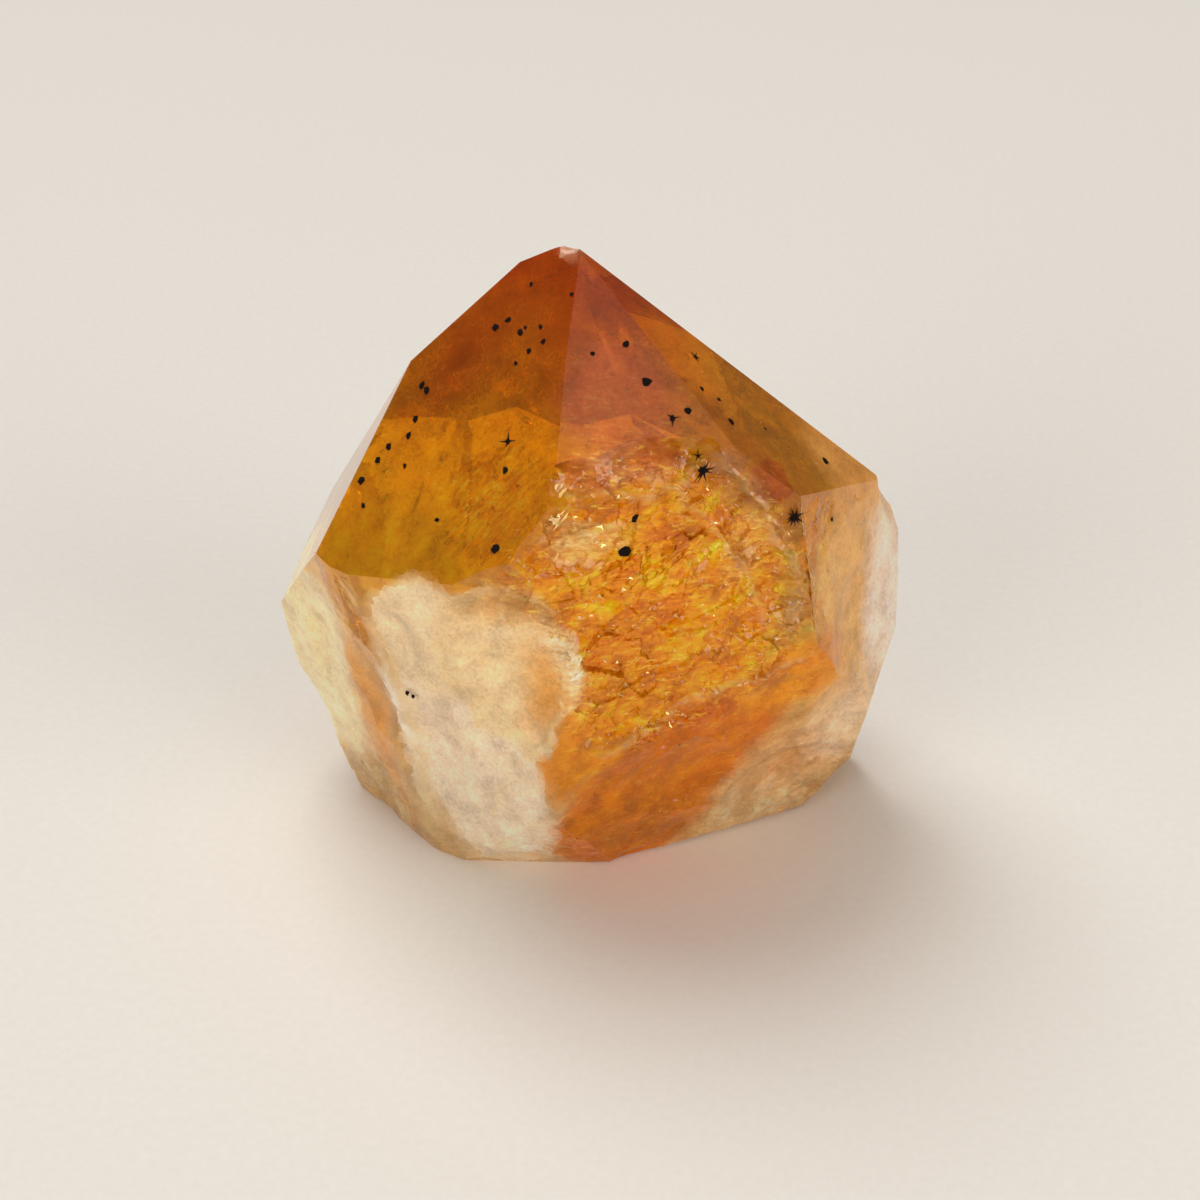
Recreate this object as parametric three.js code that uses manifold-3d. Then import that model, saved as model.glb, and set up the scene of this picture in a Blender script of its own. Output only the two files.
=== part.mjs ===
// A citrine crystal point: one quartz crystal with a polished six-sided tip, natural sides that
// taper to a broken root, and a flat cut underneath on which it stands upright.
//
// Units are millimetres and +Z is up. The crystal is one solid: a block of quartz cut by one plane
// for each face, then by shallow balls where conchoidal chips and hollows have broken out of it.
import * as THREE from "three";
import { mergeVertices } from "three/addons/utils/BufferGeometryUtils.js";
import Module from "manifold-3d";

const wasm = await Module();
wasm.setup();

// ---- Driving dimensions -------------------------------------------------------------------

const STOCK = 120; // side of the block that the faces are cut from
const CHIP_GRAIN = 1.5; // longest edge of a facet inside a chip
const AMBER = 0xc8780f;

// Each face is a plane. azimuth is the compass angle of its outward normal (0 is +X, 90 is +Y),
// tilt is the normal's angle above the horizon, and reach is the plane's distance from the
// point where the crystal's c axis meets the ground.
const TIP_FACES = [
  { name: "front_sliver", azimuth: -127, tilt: 37.5, reach: 39.4 },
  { name: "front_left", azimuth: -132, tilt: 34.5, reach: 37.1 },
  { name: "front_centre", azimuth: -81, tilt: 38.4, reach: 39.0 },
  { name: "front_right", azimuth: -13, tilt: 46.8, reach: 45.4 },
  { name: "back_right", azimuth: 58, tilt: 37.0, reach: 38.7 },
  { name: "back_left", azimuth: 95, tilt: 38.5, reach: 41.9 },
  { name: "left_upper", azimuth: 140, tilt: 39.0, reach: 45.3 },
  { name: "left_lower", azimuth: 176, tilt: 27.5, reach: 40.3 },
];
const SIDE_FACES = [
  { name: "left_flank", azimuth: -142, tilt: -11.5, reach: 16.8 },
  { name: "left_bevel", azimuth: -131, tilt: -9.6, reach: 15.35 },
  { name: "milky_front", azimuth: -121, tilt: -8.0, reach: 13.7 },
  { name: "front", azimuth: -75, tilt: 4.0, reach: 15.8 },
  { name: "front_root", azimuth: -65, tilt: -18.0, reach: 7.6 },
  { name: "right_flank", azimuth: -31, tilt: 8.0, reach: 26.2 },
  { name: "right_bevel", azimuth: -8, tilt: 2.0, reach: 30.5 },
  { name: "right_root", azimuth: -15, tilt: -13.0, reach: 23.1 },
  { name: "right_heel", azimuth: -25, tilt: -36.0, reach: 15.2 },
  { name: "right_edge", azimuth: 36, tilt: -1.0, reach: 29.1 },
  { name: "back", azimuth: 74, tilt: -4.0, reach: 28.0 },
  { name: "back_root", azimuth: 113, tilt: -10.5, reach: 26.8 },
  { name: "left_edge", azimuth: 167, tilt: -4.0, reach: 32.7 },
  { name: "left_root", azimuth: 165, tilt: -26.5, reach: 23.8 },
];
const UNDER_FACES = [
  { name: "front_toe", azimuth: -92, tilt: -32.0, reach: 6.9 },
  { name: "right_undercut", azimuth: -62, tilt: -79.0, reach: 1.1 },
  { name: "back_undercut", azimuth: 80, tilt: -74.0, reach: 5.6 },
  { name: "flat_cut", azimuth: 0, tilt: -90, reach: 0 },
];

// A chip is the part of a stretched ball that reaches into the crystal. at is the middle of the
// chip's mouth, azimuth and tilt say which way the mouth opens, roll turns its long way up from
// the level, and size is the mouth's length and width and the depth below the mouth.
const CHIPS = [
  { name: "milky_hollow", at: [-8.7, -15.1, 29.5], azimuth: -103, tilt: -2, roll: 84, size: [21, 17.5, 2.3] },
  { name: "milky_foot", at: [-16, -10, 9], azimuth: -123, tilt: -12, roll: 70, size: [18, 12, 1.1] },
  { name: "shoulder_groove", at: [14.2, -9.6, 41.5], azimuth: -78, tilt: 6, roll: -66, size: [19, 6, 1.1] },
  { name: "shoulder_bite", at: [16.2, -9.4, 34], azimuth: -72, tilt: 4, roll: -50, size: [9, 5, 0.8] },
  { name: "flap_left", at: [-1.2, -12.6, 47.2], azimuth: -84, tilt: 30, roll: -6, size: [8, 5.2, 0.6] },
  { name: "flap_middle", at: [3.4, -11.2, 48.0], azimuth: -79, tilt: 29, roll: 12, size: [11, 6.4, 0.8] },
  { name: "flap_right", at: [8.2, -10.4, 47.8], azimuth: -74, tilt: 27, roll: 38, size: [6.5, 5, 0.7] },
  { name: "pale_flake", at: [-1.4, -13.9, 40.6], azimuth: -80, tilt: 8, roll: -4, size: [10.5, 6, 0.7] },
  { name: "half_moon", at: [9.7, -11.1, 38], azimuth: -72, tilt: 10, roll: 70, size: [4.5, 3.4, 0.5] },
  { name: "front_step_left", at: [-1.5, -14.5, 32], azimuth: -84, tilt: 10, roll: 20, size: [8, 5, 0.6] },
  { name: "front_step_middle", at: [6.5, -12.5, 31.5], azimuth: -74, tilt: 10, roll: 10, size: [9, 6, 0.7] },
  { name: "front_step_right", at: [14, -10.4, 31.5], azimuth: -70, tilt: 0, roll: -20, size: [7, 5, 0.6] },
  { name: "front_step_low", at: [2.5, -14.2, 22.5], azimuth: -77, tilt: -2, roll: 22, size: [10, 5, 0.7] },
  { name: "ridge_nick", at: [8.8, -12.4, 22.4], azimuth: -70, tilt: -8, roll: 28, size: [6, 3.6, 0.8] },
  { name: "root_nick", at: [7.2, -11.6, 18], azimuth: -66, tilt: -16, roll: 30, size: [5, 3.4, 0.5] },
  { name: "root_shell", at: [17.2, -3.4, 7.5], azimuth: -58, tilt: -22, roll: 14, size: [13, 9, 1.0] },
  { name: "root_scoop", at: [22.4, -4.2, 15], azimuth: -50, tilt: -12, roll: 62, size: [12, 7, 0.8] },
  { name: "flank_shell", at: [26.2, -1.6, 25], azimuth: -26, tilt: 2, roll: 80, size: [15, 7, 0.8] },
  { name: "flank_corner", at: [29.4, 6.6, 34], azimuth: -6, tilt: 20, roll: 70, size: [11, 7, 0.6] },
  { name: "left_shell", at: [-27.6, 0.4, 22], azimuth: -146, tilt: -10, roll: 74, size: [18, 7, 0.7] },
  { name: "left_notch", at: [-21.9, 1.7, 46], azimuth: 178, tilt: 26, roll: 58, size: [3.4, 1.8, 0.35] },
  { name: "upper_notch", at: [-12.6, 4.2, 57.8], azimuth: 168, tilt: 38, roll: 40, size: [3.2, 1.7, 0.35] },
  { name: "tip_nick", at: [-3.2, 1.7, 64.2], azimuth: -118, tilt: 52, roll: 0, size: [3.4, 1.6, 0.4] },
  { name: "left_bite", at: [-22.6, 0.2, 1.6], azimuth: -150, tilt: -30, roll: 5, size: [7, 3.4, 0.7] },
  { name: "toe_bite", at: [-12.6, -9.2, 2.4], azimuth: -116, tilt: -34, roll: -4, size: [8, 3.6, 0.7] },
  { name: "front_bite", at: [6, -7.2, 1.6], azimuth: -72, tilt: -44, roll: 4, size: [9, 3.4, 0.6] },
  { name: "back_shell", at: [8, 27.6, 14], azimuth: 78, tilt: -6, roll: 12, size: [28, 20, 1.2] },
  { name: "back_step", at: [-8, 29.4, 20], azimuth: 104, tilt: -8, roll: 64, size: [20, 10, 0.9] },
  { name: "back_left_shell", at: [-22, 20.4, 17], azimuth: 126, tilt: -8, roll: 40, size: [20, 14, 1.0] },
  { name: "back_right_shell", at: [25.4, 14.6, 18], azimuth: 36, tilt: -4, roll: 70, size: [21, 11, 0.8] },
  { name: "left_root_shell", at: [-27.8, 12, 8.4], azimuth: 166, tilt: -22, roll: 12, size: [13, 8, 1.0] },
];

// Scars are small chips strewn over the natural faces, so that they are nowhere quite flat. Each is
// placed by a ray from the crystal's middle, opens within lean degrees of its face's normal, and
// is as deep as its share of its own width.
const SCARS = {
  seed: 11,
  count: 64,
  middle: [-1, 8],
  heights: [2.5, 34],
  lengths: [5, 13],
  slender: [0.5, 0.8],
  depth: [0.05, 0.085],
  lean: 9,
};

// ---- Shapes -------------------------------------------------------------------------------

const RADIANS = Math.PI / 180;
const UP = new THREE.Vector3(0, 0, 1);

/** The unit vector at an azimuth and a tilt, both in degrees. */
function direction(azimuth, tilt) {
  const a = azimuth * RADIANS;
  const t = tilt * RADIANS;
  return new THREE.Vector3(Math.cos(a) * Math.cos(t), Math.sin(a) * Math.cos(t), Math.sin(t));
}

/** A closed three.js geometry as a solid that can be joined and cut. */
function solidFrom(geometry) {
  const bare = geometry.clone();
  bare.deleteAttribute("normal");
  bare.deleteAttribute("uv");
  const merged = mergeVertices(bare, 1e-4);
  const mesh = new wasm.Mesh({
    numProp: 3,
    vertProperties: merged.attributes.position.array,
    triVerts: new Uint32Array(merged.index.array),
  });
  return new wasm.Manifold(mesh);
}

/** The block of waste that lies outside one face. */
function wasteOutside({ azimuth, tilt, reach }) {
  const turn = new THREE.Quaternion().setFromUnitVectors(UP, direction(azimuth, tilt));
  const block = new THREE.BoxGeometry(2 * STOCK, 2 * STOCK, STOCK);
  block.translate(0, 0, reach + STOCK / 2);
  block.applyQuaternion(turn);
  return solidFrom(block);
}

/** The stretched ball that breaks one chip out of the crystal. */
function ballOf({ at, azimuth, tilt, roll, size }) {
  const [length, width, depth] = size;
  const radius = (width * width) / (8 * depth) + depth / 2;
  const detail = Math.ceil((1.05 * radius) / CHIP_GRAIN);
  const ball = new THREE.IcosahedronGeometry(radius, detail);
  ball.scale(length / width, 1, 1);
  ball.translate(0, 0, radius - depth);
  ball.rotateZ(roll * RADIANS);

  const opening = direction(azimuth, tilt);
  const level = new THREE.Vector3().crossVectors(UP, opening).normalize();
  const upright = new THREE.Vector3().crossVectors(opening, level);
  ball.applyMatrix4(new THREE.Matrix4().makeBasis(level, upright, opening));
  ball.translate(...at);
  return solidFrom(ball);
}

/** A repeatable source of numbers from 0 to 1. */
function numbersFrom(seed) {
  let state = seed >>> 0;
  return () => {
    state = (Math.imul(state, 1664525) + 1013904223) >>> 0;
    return state / 2 ** 32;
  };
}

/** The face that a level ray from the middle leaves through, and the point where it does. */
function wayOut(azimuth, height) {
  const start = new THREE.Vector3(...SCARS.middle, height);
  const ray = direction(azimuth, 0);
  let nearest = { travel: Infinity };
  for (const face of [...TIP_FACES, ...SIDE_FACES, ...UNDER_FACES]) {
    const normal = direction(face.azimuth, face.tilt);
    const travel = (face.reach - normal.dot(start)) / normal.dot(ray);
    if (travel > 0 && travel < nearest.travel) {
      nearest = { travel, face };
    }
  }
  return { face: nearest.face, point: start.addScaledVector(ray, nearest.travel) };
}

/** The scars, as chips. Rays that leave through a polished face of the tip leave no scar. */
function scars() {
  const random = numbersFrom(SCARS.seed);
  const between = ([low, high]) => low + (high - low) * random();
  const list = [];
  for (let i = 0; i < SCARS.count; i += 1) {
    const { face, point } = wayOut(360 * random(), between(SCARS.heights));
    const lean = [-SCARS.lean, SCARS.lean];
    const azimuth = face.azimuth + between(lean);
    const tilt = face.tilt + between(lean);
    const roll = between([0, 180]);
    const length = between(SCARS.lengths);
    const width = length * between(SCARS.slender);
    const depth = width * between(SCARS.depth);
    if (SIDE_FACES.includes(face)) {
      list.push({ at: point.toArray(), azimuth, tilt, roll, size: [length, width, depth] });
    }
  }
  return list;
}

/** A solid as a three.js geometry. */
function geometryFrom(solid) {
  const { vertProperties, triVerts } = solid.getMesh();
  const geometry = new THREE.BufferGeometry();
  geometry.setAttribute("position", new THREE.BufferAttribute(vertProperties, 3));
  geometry.setIndex(new THREE.BufferAttribute(triVerts, 1));
  geometry.computeVertexNormals();
  return geometry;
}

// ---- The crystal --------------------------------------------------------------------------

/** The whole crystal, cut face by face and then chipped. */
function crystalGeometry() {
  let crystal = solidFrom(new THREE.BoxGeometry(STOCK, STOCK, 2 * STOCK));
  for (const face of [...TIP_FACES, ...SIDE_FACES, ...UNDER_FACES]) {
    crystal = crystal.subtract(wasteOutside(face));
  }
  for (const chip of [...CHIPS, ...scars()]) {
    crystal = crystal.subtract(ballOf(chip));
  }
  return geometryFrom(crystal);
}

/** Moves a geometry so that the middle of its box's underside is at the origin. */
function standOnOrigin(geometry) {
  geometry.computeBoundingBox();
  const { min, max } = geometry.boundingBox;
  geometry.translate(-(min.x + max.x) / 2, -(min.y + max.y) / 2, -min.z);
  return geometry;
}

const citrine = new THREE.MeshStandardMaterial({ color: AMBER, roughness: 0.12, metalness: 0 });
const crystal = new THREE.Mesh(standOnOrigin(crystalGeometry()), citrine);
crystal.name = "citrine_point";

const part = new THREE.Group();
part.add(crystal);

export default part;
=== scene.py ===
"""A citrine crystal point: polished amber tip, hackly golden front, milky frosted root.

Every length in the dataclasses is in millimetres unless its name says otherwise, and every place
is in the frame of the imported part: X to the right, Y away from the broad front, Z up, with the
origin under the middle of the crystal. The meshes themselves are in metres.
"""

import logging
import math
from dataclasses import dataclass, field
from enum import Enum
from typing import Callable

import bmesh
import bpy
import numpy as np
from mathutils import Euler, Matrix, Vector, noise

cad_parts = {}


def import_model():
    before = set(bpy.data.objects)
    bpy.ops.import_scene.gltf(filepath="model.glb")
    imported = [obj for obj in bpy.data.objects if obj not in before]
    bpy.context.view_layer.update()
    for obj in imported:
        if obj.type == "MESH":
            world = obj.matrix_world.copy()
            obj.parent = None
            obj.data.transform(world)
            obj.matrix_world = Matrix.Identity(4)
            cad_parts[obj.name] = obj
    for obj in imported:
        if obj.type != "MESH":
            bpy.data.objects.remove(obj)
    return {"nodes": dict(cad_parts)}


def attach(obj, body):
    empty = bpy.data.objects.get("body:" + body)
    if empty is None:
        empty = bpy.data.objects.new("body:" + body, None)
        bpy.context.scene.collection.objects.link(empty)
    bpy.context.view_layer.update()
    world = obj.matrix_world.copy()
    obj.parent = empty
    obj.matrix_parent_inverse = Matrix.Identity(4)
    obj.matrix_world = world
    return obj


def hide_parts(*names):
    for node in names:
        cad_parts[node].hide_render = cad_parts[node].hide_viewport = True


LOG = logging.getLogger("citrine")
MM = 0.001
BODY = "root"
NODE = "citrine_point"

Triple = tuple[float, float, float]
Colour = tuple[float, float, float, float]


# ---- Small tools --------------------------------------------------------------------------


def linear(hex_code: str) -> Colour:
    """Turns an sRGB hex colour into a linear one.

    Args:
        hex_code: six hex digits, such as "C98510".

    Returns:
        Linear red, green, blue and an alpha of one.
    """
    parts = [int(hex_code[i : i + 2], 16) / 255 for i in (0, 2, 4)]
    curve = [c / 12.92 if c <= 0.04045 else ((c + 0.055) / 1.055) ** 2.4 for c in parts]
    return (curve[0], curve[1], curve[2], 1.0)


def compass(azimuth: float, tilt: float) -> Vector:
    """Gives the unit vector at a compass angle and a tilt above the horizon.

    Args:
        azimuth: degrees from +X towards +Y.
        tilt: degrees above the horizon.

    Returns:
        The unit vector.
    """
    a, t = math.radians(azimuth), math.radians(tilt)
    return Vector((math.cos(a) * math.cos(t), math.sin(a) * math.cos(t), math.sin(t)))


def add_node(
    tree: bpy.types.NodeTree,
    kind: str,
    settings: dict[str, object] | None = None,
    inputs: dict[str | int, object] | None = None,
) -> bpy.types.Node:
    """Adds one node, sets its properties and fills or links its inputs.

    Args:
        tree: the node tree that takes the node.
        kind: the node's type name.
        settings: node properties by name.
        inputs: socket values by name or number; an output socket is linked.

    Returns:
        The new node.
    """
    node = tree.nodes.new(kind)
    for name, value in (settings or {}).items():
        setattr(node, name, value)
    for name, value in (inputs or {}).items():
        if isinstance(value, bpy.types.NodeSocket):
            tree.links.new(value, node.inputs[name])
        else:
            node.inputs[name].default_value = value
    return node


def new_object(name: str, mesh: bpy.types.Mesh) -> bpy.types.Object:
    """Makes an object for a mesh and shows it in the scene."""
    thing = bpy.data.objects.new(name, mesh)
    bpy.context.scene.collection.objects.link(thing)
    return thing


# ---- Where things are on the crystal ------------------------------------------------------


class Face(Enum):
    """The faces that sealed pieces are placed by: compass angle and tilt of each outward normal."""

    FRONT_LEFT = (-132.0, 34.5)
    FRONT_CENTRE = (-81.0, 38.4)
    FRONT_RIGHT = (-13.0, 46.8)
    FRONT = (-75.0, 4.0)
    MILKY = (-121.0, -8.0)
    RIGHT_FLANK = (-31.0, 8.0)

    @property
    def normal(self) -> Vector:
        """The face's outward normal."""
        return compass(*self.value)


@dataclass(frozen=True)
class Plane:
    """A flat face of the crystal: points with normal . p = reach, in metres."""

    normal: Vector
    reach: float

    def inside(self, point: Vector) -> float:
        """How far a point lies inside the face."""
        return self.reach - self.normal.dot(point)


@dataclass
class Planes:
    """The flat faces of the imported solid, found from its own triangles."""

    source: bpy.types.Mesh
    same_way: float = math.cos(math.radians(0.25))
    polished_above: float = 0.35
    least_area: float = 20.0

    def facing(self, direction: Vector) -> Plane:
        """Finds the face that looks one way.

        Args:
            direction: the unit normal to look for.

        Returns:
            The plane that holds most of the area facing that way.
        """
        reaches = [
            (self.source.vertices[f.vertices[0]].co.dot(direction), f.area)
            for f in self.source.polygons
            if f.normal.dot(direction) > self.same_way
        ]
        total = sum(area for _, area in reaches)
        return Plane(direction.copy(), sum(r * area for r, area in reaches) / total)

    def polished(self) -> list[Plane]:
        """Lists the polished faces: the large flat ones that lean up towards the tip."""
        found: list[tuple[Vector, float, float]] = []
        for face in self.source.polygons:
            if face.normal.z < self.polished_above:
                continue
            reach = face.normal.dot(face.center)
            for i, (normal, at, area) in enumerate(found):
                if normal.dot(face.normal) > self.same_way and abs(at - reach) < 0.02 * MM:
                    found[i] = (normal, at, area + face.area)
                    break
            else:
                found.append((face.normal.copy(), reach, face.area))
        least = self.least_area * MM * MM
        return [Plane(normal, at) for normal, at, area in found if area > least]


@dataclass(frozen=True)
class Patch:
    """A soft-edged ellipsoid that marks out part of the crystal.

    Args:
        at: its middle.
        radii: its half sizes along its own axes.
        turn: degrees that it is turned about X, Y and Z.
        soft: how much of its radius the edge fades over.
    """

    at: Triple
    radii: Triple
    turn: Triple = (0.0, 0.0, 0.0)
    soft: float = 0.5

    def share(self, points: np.ndarray) -> np.ndarray:
        """Gives 1 in the middle of the patch and 0 outside it, for points in metres."""
        turn = Euler([math.radians(a) for a in self.turn]).to_matrix()
        local = (points / MM - np.array(self.at)) @ np.array(turn) / np.array(self.radii)
        t = np.clip((1 - np.linalg.norm(local, axis=1)) / self.soft, 0, 1)
        return t * t * (3 - 2 * t)


# ---- Finishes -----------------------------------------------------------------------------


@dataclass(frozen=True)
class Tint:
    """One patch of the crystal's colour.

    Args:
        patch: where it is.
        colour: its sRGB hex colour.
        clear: how much light goes through, from 0 milky to 1 clear.
        frost: its roughness.
        share: how strongly it covers what is under it.
    """

    patch: Patch
    colour: str
    clear: float
    frost: float
    share: float = 1.0


@dataclass(frozen=True)
class QuartzFinish:
    """Citrine, an iron-stained quartz: glass-clear where polished, frosted where it broke.

    Quartz bends light a little more than window glass, and the amber deepens with the length
    of the light's way through it. Healed cracks and milky growth scatter light near the root.
    """

    name: str = "citrine_quartz"
    ior: float = 1.544
    tip: str = "CE5400"
    shoulder: str = "EA9000"
    waist: str = "FFB20A"
    root: str = "ECB05C"
    reflection: float = 0.25
    clear: float = 0.66
    polish: float = 0.03
    stain: Triple = (0.96, 0.78, 0.12)
    stain_per_metre: float = 30.0
    edge: str = "F6D290"
    # The pale yellow of painted glints: highlights painted onto the brightest feather streaks.
    painted_glint: str = "FFD048"
    feather_width: float = 0.5
    flake_width: float = 3.2
    feather_lean: float = -38.0
    tints: tuple[Tint, ...] = ()

    def build(self) -> bpy.types.Material:
        """Makes the material.

        Returns:
            The crystal's material.
        """
        material = bpy.data.materials.new(self.name)
        material.use_nodes = True
        tree = material.node_tree
        tree.nodes.clear()
        place = add_node(tree, "ShaderNodeTexCoord").outputs["Object"]
        jagged = self._jagged(tree, self._wavy(tree, place, 6.0, 3.0), 1.3, 0.45)
        colour = self._gradient(tree, self._wavy(tree, place, 12.0, 7.0))
        clear: object = self.clear
        frost: object = self.polish
        for tint in self.tints:
            mask = self._mask(tree, jagged, tint)
            colour = self._blend(tree, mask, colour, linear(tint.colour), "RGBA")
            clear = self._blend(tree, mask, clear, tint.clear, "FLOAT")
            frost = self._blend(tree, mask, frost, tint.frost, "FLOAT")
        colour = self._flakes(tree, place, self._mottle(tree, place, colour))
        shader = add_node(
            tree,
            "ShaderNodeBsdfPrincipled",
            inputs={
                "Base Color": colour,
                "Roughness": frost,
                "IOR": self.ior,
                "Specular IOR Level": self.reflection,
                "Transmission Weight": clear,
                "Normal": self._grain(tree, frost),
            },
        )
        stain = add_node(
            tree,
            "ShaderNodeVolumeAbsorption",
            inputs={"Color": (*self.stain, 1.0), "Density": self.stain_per_metre},
        )
        add_node(
            tree,
            "ShaderNodeOutputMaterial",
            inputs={"Surface": shader.outputs[0], "Volume": stain.outputs[0]},
        )
        return material

    def _wavy(
        self, tree: bpy.types.NodeTree, place: bpy.types.NodeSocket, size: float, sway: float
    ) -> bpy.types.NodeSocket:
        """Sways a position by smooth noise, so that no patch has a clean outline."""
        cloud = add_node(
            tree,
            "ShaderNodeTexNoise",
            inputs={"Vector": place, "Scale": 1 / (size * MM), "Detail": 1.5},
        )
        centred = add_node(
            tree,
            "ShaderNodeVectorMath",
            {"operation": "SUBTRACT"},
            {0: cloud.outputs["Color"], 1: (0.5, 0.5, 0.5)},
        )
        moved = add_node(
            tree,
            "ShaderNodeVectorMath",
            {"operation": "MULTIPLY_ADD"},
            {0: centred.outputs[0], 1: (sway * MM,) * 3, 2: place},
        )
        return moved.outputs[0]

    def _gradient(
        self, tree: bpy.types.NodeTree, place: bpy.types.NodeSocket
    ) -> bpy.types.NodeSocket:
        """Shades the quartz from its dark tip to its pale root."""
        split = add_node(tree, "ShaderNodeSeparateXYZ", inputs={0: place})
        height = add_node(
            tree,
            "ShaderNodeMapRange",
            inputs={"Value": split.outputs["Z"], "From Min": 0.0, "From Max": 64 * MM},
        )
        ramp = add_node(tree, "ShaderNodeValToRGB", inputs={0: height.outputs[0]})
        stops = [(0.0, self.root), (0.55, self.waist), (0.76, self.shoulder), (0.95, self.tip)]
        band = ramp.color_ramp
        band.elements[0].position, band.elements[0].color = stops[0][0], linear(stops[0][1])
        band.elements[1].position, band.elements[1].color = stops[-1][0], linear(stops[-1][1])
        for at, hex_code in stops[1:-1]:
            band.elements.new(at).color = linear(hex_code)
        return ramp.outputs["Color"]

    def _jagged(
        self, tree: bpy.types.NodeTree, place: bpy.types.NodeSocket, size: float, share: float
    ) -> bpy.types.NodeSocket:
        """Pulls a position towards the middle of its splinter, so that edges break in steps."""
        cell = add_node(
            tree, "ShaderNodeTexVoronoi", inputs={"Vector": place, "Scale": 1 / (size * MM)}
        )
        mix = add_node(
            tree,
            "ShaderNodeMix",
            {"data_type": "VECTOR"},
            {0: share, 4: place, 5: cell.outputs["Position"]},
        )
        return mix.outputs[1]

    def _flakes(
        self,
        tree: bpy.types.NodeTree,
        place: bpy.types.NodeSocket,
        colour: bpy.types.NodeSocket,
    ) -> bpy.types.NodeSocket:
        """Shades broken quartz flake by flake: thick flakes go red, thin ones pale gold, and the
        brightest feather streaks get painted glints of pale yellow.
        """
        # The attribute's second channel sets both the feather streaks and the painted glints.
        broken = add_node(tree, "ShaderNodeAttribute", {"attribute_name": "broken"})
        split = add_node(tree, "ShaderNodeSeparateXYZ", inputs={0: broken.outputs["Vector"]})
        grain = add_node(
            tree,
            "ShaderNodeMapping",
            inputs={
                "Vector": place,
                "Rotation": (0.0, math.radians(self.feather_lean), 0.0),
                "Scale": (0.3, 1.0, 1.0),
            },
        )
        feather = add_node(
            tree,
            "ShaderNodeTexNoise",
            inputs={
                "Vector": grain.outputs[0],
                "Scale": 1 / (self.feather_width * MM),
                "Detail": 3.0,
                "Roughness": 0.65,
                "Distortion": 0.6,
            },
        )
        streak = add_node(
            tree,
            "ShaderNodeMapRange",
            inputs={
                "Value": feather.outputs["Fac"],
                "From Min": 0.33,
                "From Max": 0.67,
                "To Min": -0.50,
                "To Max": 0.60,
            },
        )
        body = add_node(
            tree,
            "ShaderNodeTexNoise",
            inputs={"Vector": place, "Scale": 1 / (self.flake_width * MM), "Detail": 2.0},
        )
        thick = add_node(
            tree,
            "ShaderNodeMapRange",
            inputs={
                "Value": body.outputs["Fac"],
                "From Min": 0.35,
                "From Max": 0.65,
                "To Min": -0.50,
                "To Max": 0.50,
            },
        )
        both = add_node(
            tree, "ShaderNodeMath", {"operation": "ADD"}, {0: streak.outputs[0], 1: thick.outputs[0]}
        )
        thin = add_node(
            tree,
            "ShaderNodeMath",
            {"operation": "MULTIPLY_ADD"},
            {0: both.outputs[0], 1: split.outputs["Y"], 2: split.outputs["X"]},
        )
        powers = [
            add_node(
                tree, "ShaderNodeMath", {"operation": "POWER"}, {0: base, 1: thin.outputs[0]}
            ).outputs[0]
            for base in (1.4, 2.0, 3.5)
        ]
        scale = add_node(tree, "ShaderNodeCombineXYZ", inputs=dict(enumerate(powers)))
        shaded = add_node(
            tree,
            "ShaderNodeVectorMath",
            {"operation": "MULTIPLY"},
            {0: colour, 1: scale.outputs[0]},
        )
        capped = add_node(
            tree,
            "ShaderNodeVectorMath",
            {"operation": "MINIMUM"},
            {0: shaded.outputs[0], 1: (0.95, 0.90, 0.80)},
        )
        # Painted glints: the brightest feather streaks are painted pale yellow as highlights, as
        # strongly as the feather amount allows.
        painted_glint_mask = add_node(
            tree,
            "ShaderNodeMapRange",
            inputs={"Value": feather.outputs["Fac"], "From Min": 0.60, "From Max": 0.69},
        )
        painted_glint_share = add_node(
            tree,
            "ShaderNodeMath",
            {"operation": "MULTIPLY"},
            {0: painted_glint_mask.outputs[0], 1: split.outputs["Y"]},
        )
        colour = self._blend(tree, painted_glint_share.outputs[0], capped.outputs[0], linear(self.painted_glint), "RGBA")
        return self._blend(tree, split.outputs["Z"], colour, linear(self.edge), "RGBA")

    def _mask(
        self, tree: bpy.types.NodeTree, place: bpy.types.NodeSocket, tint: Tint
    ) -> bpy.types.NodeSocket:
        """Gives a tint's patch as a number from 0 to its share."""
        patch = tint.patch
        local = add_node(
            tree,
            "ShaderNodeMapping",
            {"vector_type": "TEXTURE"},
            {
                "Vector": place,
                "Location": tuple(c * MM for c in patch.at),
                "Rotation": tuple(math.radians(a) for a in patch.turn),
                "Scale": tuple(r * MM for r in patch.radii),
            },
        )
        reach = add_node(
            tree, "ShaderNodeVectorMath", {"operation": "LENGTH"}, {0: local.outputs[0]}
        )
        edge = add_node(
            tree,
            "ShaderNodeMapRange",
            {"interpolation_type": "SMOOTHSTEP"},
            {
                "Value": reach.outputs["Value"],
                "From Min": 1 - patch.soft,
                "From Max": 1.0,
                "To Min": tint.share,
                "To Max": 0.0,
            },
        )
        return edge.outputs[0]

    def _blend(
        self,
        tree: bpy.types.NodeTree,
        mask: bpy.types.NodeSocket,
        under: object,
        over: object,
        kind: str,
    ) -> bpy.types.NodeSocket:
        """Mixes two colours or two numbers by a mask."""
        first, second, out = {"RGBA": (6, 7, 2), "FLOAT": (2, 3, 0)}[kind]
        mix = add_node(
            tree, "ShaderNodeMix", {"data_type": kind}, {0: mask, first: under, second: over}
        )
        return mix.outputs[out]

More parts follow.
